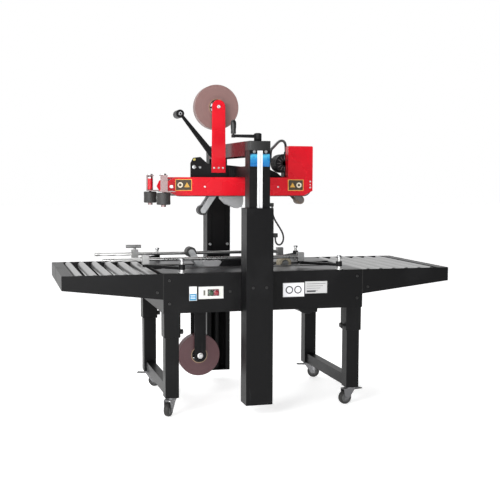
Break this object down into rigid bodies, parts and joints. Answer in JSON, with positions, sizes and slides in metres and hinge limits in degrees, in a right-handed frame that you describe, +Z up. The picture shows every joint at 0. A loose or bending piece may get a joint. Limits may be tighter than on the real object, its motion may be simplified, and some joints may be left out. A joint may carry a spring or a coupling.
{
  "type": "carton sealer machine",
  "caption": "Semi-automatic case sealer: roller table, top and bottom drive belts, tape cartridges, side guides and a crank-raised head.",
  "frame": {"origin": "on the floor under the middle of the machine", "axes": "+X along the carton's travel, infeed to outfeed; +Y from the operator's side (crank, buttons) to the far side; +Z up"},
  "size_m": [1.77, 0.858, 1.463],
  "materials": {
    "belt_rubber": "ribbed drive belt",
    "black_powder_coat": "fine textured powder coat, semi matt",
    "brown_rubber": "soft wiping roller",
    "cable_sheath": "flexible sheath",
    "caster_rubber": "moulded tread",
    "chrome": "chrome plated",
    "green_button": "moulded",
    "khaki_rubber": "soft wiping roller",
    "label_plate": null,
    "press_rubber": "matt rubber",
    "red_button": "moulded",
    "red_powder_coat": "gloss powder coat",
    "roller_zinc": "zinc plated conveyor tube",
    "tape": "wound packing tape",
    "zinc_plate": "bright zinc plated steel"
  },
  "bodies": {
    "base": {"table_body": "black_powder_coat", "table_deck": "black_powder_coat", "extension_frames": "black_powder_coat", "leg_sleeves": "black_powder_coat", "mast_sleeves": "black_powder_coat", "lower_belts": "belt_rubber", "lower_belt_drive": "black_powder_coat", "lower_tape_frame": "black_powder_coat", "guide_posts": "chrome", "panel_plates": "label_plate", "frame_bolts": "zinc_plate"},
    "infeed_roller_1": {"infeed_roller_1": "roller_zinc"},
    "infeed_roller_2": {"infeed_roller_2": "roller_zinc"},
    "infeed_roller_3": {"infeed_roller_3": "roller_zinc"},
    "infeed_roller_4": {"infeed_roller_4": "roller_zinc"},
    "infeed_roller_5": {"infeed_roller_5": "roller_zinc"},
    "infeed_roller_6": {"infeed_roller_6": "roller_zinc"},
    "outfeed_roller_1": {"outfeed_roller_1": "roller_zinc"},
    "outfeed_roller_2": {"outfeed_roller_2": "roller_zinc"},
    "outfeed_roller_3": {"outfeed_roller_3": "roller_zinc"},
    "outfeed_roller_4": {"outfeed_roller_4": "roller_zinc"},
    "outfeed_roller_5": {"outfeed_roller_5": "roller_zinc"},
    "outfeed_roller_6": {"outfeed_roller_6": "roller_zinc"},
    "legs": {"telescopic_legs": "black_powder_coat"},
    "fork_front_left": {"caster_fork_front_left": "zinc_plate"},
    "wheel_front_left": {"caster_wheel_front_left": "caster_rubber"},
    "fork_front_right": {"caster_fork_front_right": "zinc_plate"},
    "wheel_front_right": {"caster_wheel_front_right": "caster_rubber"},
    "fork_rear_left": {"caster_fork_rear_left": "zinc_plate"},
    "wheel_rear_left": {"caster_wheel_rear_left": "caster_rubber"},
    "fork_rear_right": {"caster_fork_rear_right": "zinc_plate"},
    "wheel_rear_right": {"caster_wheel_rear_right": "caster_rubber"},
    "head": {"lift_columns": "black_powder_coat", "head_frame": "red_powder_coat", "upper_belts": "belt_rubber", "motor_cover": "red_powder_coat", "upper_tape_frame": "black_powder_coat", "motor_conduit": "cable_sheath", "lift_cable": "cable_sheath"},
    "crank": {"hand_crank": "zinc_plate"},
    "upper_front_arm": {"upper_front_arm": "zinc_plate"},
    "upper_front_roller": {"upper_front_roller": "belt_rubber"},
    "upper_rear_arm": {"upper_rear_arm": "zinc_plate"},
    "upper_rear_roller": {"upper_rear_roller": "brown_rubber"},
    "lower_front_arm": {"lower_front_arm": "zinc_plate"},
    "lower_front_roller": {"lower_front_roller": "belt_rubber"},
    "lower_rear_arm": {"lower_rear_arm": "zinc_plate"},
    "lower_rear_roller": {"lower_rear_roller": "khaki_rubber"},
    "upper_tape_roll": {"upper_tape_roll": "tape"},
    "lower_tape_roll": {"lower_tape_roll": "tape"},
    "front_press_roller": {"front_press_roller": "press_rubber"},
    "rear_press_roller": {"rear_press_roller": "press_rubber"},
    "front_infeed_arm": {"front_infeed_arm": "zinc_plate"},
    "front_outfeed_arm": {"front_outfeed_arm": "zinc_plate"},
    "front_rail": {"front_guide_rail": "chrome"},
    "rear_infeed_arm": {"rear_infeed_arm": "zinc_plate"},
    "rear_outfeed_arm": {"rear_outfeed_arm": "zinc_plate"},
    "rear_rail": {"rear_guide_rail": "chrome"},
    "start_button": {"start_button": "green_button"},
    "stop_button": {"stop_button": "red_button"}
  },
  "joints": [
    {"name": "leg_height", "type": "slide", "parent": "base", "child": "legs", "axis": [0, 0, 1], "range_m": [-0.12, 0]},
    {"name": "head_lift", "type": "slide", "parent": "base", "child": "head", "axis": [0, 0, 1], "range_m": [-0.19, 0.17], "deforming": ["lift_cable"]},
    {"name": "upper_front_arm_swing", "type": "hinge", "parent": "head", "child": "upper_front_arm", "pos_m": [-0.129, 0, 1.01], "axis": [0, 1, 0], "range_deg": [0, 38], "stiffness_Nm_per_rad": 8, "springref_deg": -22.92},
    {"name": "upper_rear_arm_swing", "type": "hinge", "parent": "head", "child": "upper_rear_arm", "pos_m": [0.19, 0, 1], "axis": [0, 1, 0], "range_deg": [-36, 0]},
    {"name": "lower_front_arm_swing", "type": "hinge", "parent": "base", "child": "lower_front_arm", "pos_m": [-0.188, 0, 0.562], "axis": [0, 1, 0], "range_deg": [-38, 0], "stiffness_Nm_per_rad": 8, "springref_deg": 34.38},
    {"name": "lower_rear_arm_swing", "type": "hinge", "parent": "base", "child": "lower_rear_arm", "pos_m": [0.11, 0, 0.56], "axis": [0, 1, 0], "range_deg": [0, 36]},
    {"name": "front_infeed_arm_swing", "type": "hinge", "parent": "base", "child": "front_infeed_arm", "pos_m": [-0.373, -0.312, 0.645], "axis": [0, 0, 1], "range_deg": [-22.6, 33]},
    {"name": "front_outfeed_arm_swing", "type": "hinge", "parent": "base", "child": "front_outfeed_arm", "pos_m": [0.35, -0.312, 0.645], "axis": [0, 0, 1], "range_deg": [-22.6, 33]},
    {"name": "front_rail_pivot", "type": "hinge", "parent": "front_infeed_arm", "child": "front_rail", "pos_m": [-0.507, -0.16, 0.645], "axis": [0, 0, 1], "range_deg": [-33, 22.6]},
    {"name": "rear_infeed_arm_swing", "type": "hinge", "parent": "base", "child": "rear_infeed_arm", "pos_m": [-0.373, 0.312, 0.645], "axis": [0, 0, 1], "range_deg": [-33, 22.6]},
    {"name": "rear_outfeed_arm_swing", "type": "hinge", "parent": "base", "child": "rear_outfeed_arm", "pos_m": [0.35, 0.312, 0.645], "axis": [0, 0, 1], "range_deg": [-33, 22.6]},
    {"name": "rear_rail_pivot", "type": "hinge", "parent": "rear_infeed_arm", "child": "rear_rail", "pos_m": [-0.507, 0.16, 0.645], "axis": [0, 0, 1], "range_deg": [-22.6, 33]},
    {"name": "start_button_press", "type": "slide", "parent": "base", "child": "start_button", "axis": [0, 1, 0], "range_m": [0, 0.003], "stiffness_N_per_m": 400, "springref_m": -0.001},
    {"name": "stop_button_press", "type": "slide", "parent": "base", "child": "stop_button", "axis": [0, 1, 0], "range_m": [0, 0.003], "stiffness_N_per_m": 400, "springref_m": -0.001},
    {"name": "crank_turn", "type": "hinge", "parent": "head", "child": "crank", "pos_m": [-0.054, -0.379, 1.2], "axis": [0, 0, 1], "range_deg": [-7300, 6300]},
    {"name": "infeed_roller_1_spin", "type": "hinge", "parent": "base", "child": "infeed_roller_1", "pos_m": [-0.49, 0, 0.6065], "axis": [0, 1, 0], "continuous": true},
    {"name": "infeed_roller_2_spin", "type": "hinge", "parent": "base", "child": "infeed_roller_2", "pos_m": [-0.5537, 0, 0.6065], "axis": [0, 1, 0], "continuous": true},
    {"name": "infeed_roller_3_spin", "type": "hinge", "parent": "base", "child": "infeed_roller_3", "pos_m": [-0.6174, 0, 0.6065], "axis": [0, 1, 0], "continuous": true},
    {"name": "infeed_roller_4_spin", "type": "hinge", "parent": "base", "child": "infeed_roller_4", "pos_m": [-0.6811, 0, 0.6065], "axis": [0, 1, 0], "continuous": true},
    {"name": "infeed_roller_5_spin", "type": "hinge", "parent": "base", "child": "infeed_roller_5", "pos_m": [-0.7448, 0, 0.6065], "axis": [0, 1, 0], "continuous": true},
    {"name": "infeed_roller_6_spin", "type": "hinge", "parent": "base", "child": "infeed_roller_6", "pos_m": [-0.8085, 0, 0.6065], "axis": [0, 1, 0], "continuous": true},
    {"name": "outfeed_roller_1_spin", "type": "hinge", "parent": "base", "child": "outfeed_roller_1", "pos_m": [0.49, 0, 0.6065], "axis": [0, 1, 0], "continuous": true},
    {"name": "outfeed_roller_2_spin", "type": "hinge", "parent": "base", "child": "outfeed_roller_2", "pos_m": [0.5537, 0, 0.6065], "axis": [0, 1, 0], "continuous": true},
    {"name": "outfeed_roller_3_spin", "type": "hinge", "parent": "base", "child": "outfeed_roller_3", "pos_m": [0.6174, 0, 0.6065], "axis": [0, 1, 0], "continuous": true},
    {"name": "outfeed_roller_4_spin", "type": "hinge", "parent": "base", "child": "outfeed_roller_4", "pos_m": [0.6811, 0, 0.6065], "axis": [0, 1, 0], "continuous": true},
    {"name": "outfeed_roller_5_spin", "type": "hinge", "parent": "base", "child": "outfeed_roller_5", "pos_m": [0.7448, 0, 0.6065], "axis": [0, 1, 0], "continuous": true},
    {"name": "outfeed_roller_6_spin", "type": "hinge", "parent": "base", "child": "outfeed_roller_6", "pos_m": [0.8085, 0, 0.6065], "axis": [0, 1, 0], "continuous": true},
    {"name": "swivel_front_left", "type": "hinge", "parent": "legs", "child": "fork_front_left", "pos_m": [-0.418, -0.293, 0.07], "axis": [0, 0, 1], "continuous": true},
    {"name": "wheel_front_left_spin", "type": "hinge", "parent": "fork_front_left", "child": "wheel_front_left", "pos_m": [-0.43349, -0.31512, 0.031], "axis": [0.8192, -0.5736, 0], "continuous": true},
    {"name": "swivel_front_right", "type": "hinge", "parent": "legs", "child": "fork_front_right", "pos_m": [0.418, -0.293, 0.07], "axis": [0, 0, 1], "continuous": true},
    {"name": "wheel_front_right_spin", "type": "hinge", "parent": "fork_front_right", "child": "wheel_front_right", "pos_m": [0.39141, -0.29769, 0.031], "axis": [0.1736, -0.9848, 0], "continuous": true},
    {"name": "swivel_rear_left", "type": "hinge", "parent": "legs", "child": "fork_rear_left", "pos_m": [-0.418, 0.293, 0.07], "axis": [0, 0, 1], "continuous": true},
    {"name": "wheel_rear_left_spin", "type": "hinge", "parent": "fork_rear_left", "child": "wheel_rear_left", "pos_m": [-0.39263, 0.28376, 0.031], "axis": [0.342, 0.9397, 0], "continuous": true},
    {"name": "swivel_rear_right", "type": "hinge", "parent": "legs", "child": "fork_rear_right", "pos_m": [0.418, 0.293, 0.07], "axis": [0, 0, 1], "continuous": true},
    {"name": "wheel_rear_right_spin", "type": "hinge", "parent": "fork_rear_right", "child": "wheel_rear_right", "pos_m": [0.44337, 0.28376, 0.031], "axis": [0.342, 0.9397, 0], "continuous": true},
    {"name": "upper_front_roller_spin", "type": "hinge", "parent": "upper_front_arm", "child": "upper_front_roller", "pos_m": [-0.215, 0, 0.884], "axis": [0, 1, 0], "continuous": true},
    {"name": "upper_rear_roller_spin", "type": "hinge", "parent": "upper_rear_arm", "child": "upper_rear_roller", "pos_m": [0.26, 0, 0.931], "axis": [0, 1, 0], "continuous": true},
    {"name": "lower_front_roller_spin", "type": "hinge", "parent": "lower_front_arm", "child": "lower_front_roller", "pos_m": [-0.271, 0, 0.69], "axis": [0, 1, 0], "continuous": true},
    {"name": "lower_rear_roller_spin", "type": "hinge", "parent": "lower_rear_arm", "child": "lower_rear_roller", "pos_m": [0.187, 0, 0.63], "axis": [0, 1, 0], "continuous": true},
    {"name": "upper_tape_roll_spin", "type": "hinge", "parent": "head", "child": "upper_tape_roll", "pos_m": [-0.149, 0, 1.36], "axis": [0, 1, 0], "continuous": true},
    {"name": "lower_tape_roll_spin", "type": "hinge", "parent": "base", "child": "lower_tape_roll", "pos_m": [-0.233, 0, 0.206], "axis": [0, 1, 0], "continuous": true},
    {"name": "front_press_roller_spin", "type": "hinge", "parent": "head", "child": "front_press_roller", "pos_m": [-0.428, -0.18, 0.942], "axis": [0, 0, 1], "continuous": true},
    {"name": "rear_press_roller_spin", "type": "hinge", "parent": "head", "child": "rear_press_roller", "pos_m": [-0.428, 0.18, 0.942], "axis": [0, 0, 1], "continuous": true}
  ],
  "couplings": [
    {"joint": "crank_turn", "follows": "head_lift", "rad_per_m": 628.32},
    {"joint": "upper_rear_arm_swing", "follows": "upper_front_arm_swing", "ratio": -0.9},
    {"joint": "lower_rear_arm_swing", "follows": "lower_front_arm_swing", "ratio": -0.9},
    {"joint": "front_outfeed_arm_swing", "follows": "front_infeed_arm_swing", "ratio": 1},
    {"joint": "front_rail_pivot", "follows": "front_infeed_arm_swing", "ratio": -1},
    {"joint": "rear_outfeed_arm_swing", "follows": "rear_infeed_arm_swing", "ratio": 1},
    {"joint": "rear_rail_pivot", "follows": "rear_infeed_arm_swing", "ratio": -1}
  ]
}
